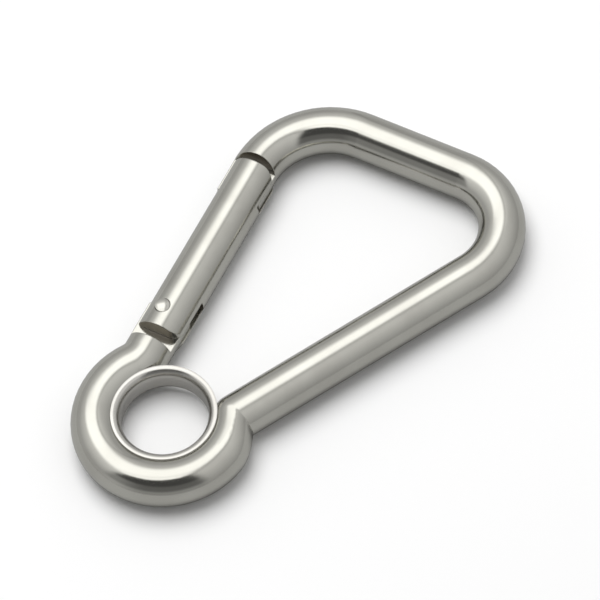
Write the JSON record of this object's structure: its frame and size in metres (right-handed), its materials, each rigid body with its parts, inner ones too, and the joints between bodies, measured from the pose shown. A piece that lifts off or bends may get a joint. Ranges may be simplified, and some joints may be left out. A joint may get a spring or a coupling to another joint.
{
  "type": "asymmetric carbine hook with eyelet",
  "caption": "Stainless asymmetric spring-gate carbine hook bent from round bar, with a ring thimble in its eye, for joining a rope or chain.",
  "frame": {"origin": "centre of the eyelet's bore, in the middle of the bar's thickness", "axes": "+Y along the straight leg, away from the eye; +Z along the eyelet's bore, square to the plane of the bent bar; +X from the gate side to the leg side"},
  "size_m": [0.0727, 0.119, 0.0112],
  "materials": {
    "polished_stainless_bar": "electropolished",
    "polished_stainless_ring": "polished",
    "polished_stainless_gate": "electropolished",
    "stainless_rivet": "polished",
    "ground_stainless_pin": "ground",
    "spring_stainless_wire": "drawn wire"
  },
  "bodies": {
    "hook": {"hook_body": "polished_stainless_bar", "eyelet_thimble": "polished_stainless_ring"},
    "gate": {"gate": "polished_stainless_gate", "hinge_rivet": "stainless_rivet", "return_spring": "spring_stainless_wire"},
    "plunger": {"spring_plunger": "ground_stainless_pin"}
  },
  "joints": [
    {"name": "gate_hinge", "type": "hinge", "parent": "hook", "child": "gate", "pos_m": [-0.0228, 0.01409, 0], "axis": [0, 0, -1], "range_deg": [0, 55], "stiffness_Nm_per_rad": 0.02, "springref_deg": -57.3},
    {"name": "plunger_slide", "type": "slide", "parent": "gate", "child": "plunger", "axis": [-0.5, 0.866, 0], "range_m": [0, 0.005], "deforming": ["return_spring"]}
  ],
  "couplings": [
    {"joint": "plunger_slide", "follows": "gate_hinge", "m_per_rad": 0.0052}
  ]
}
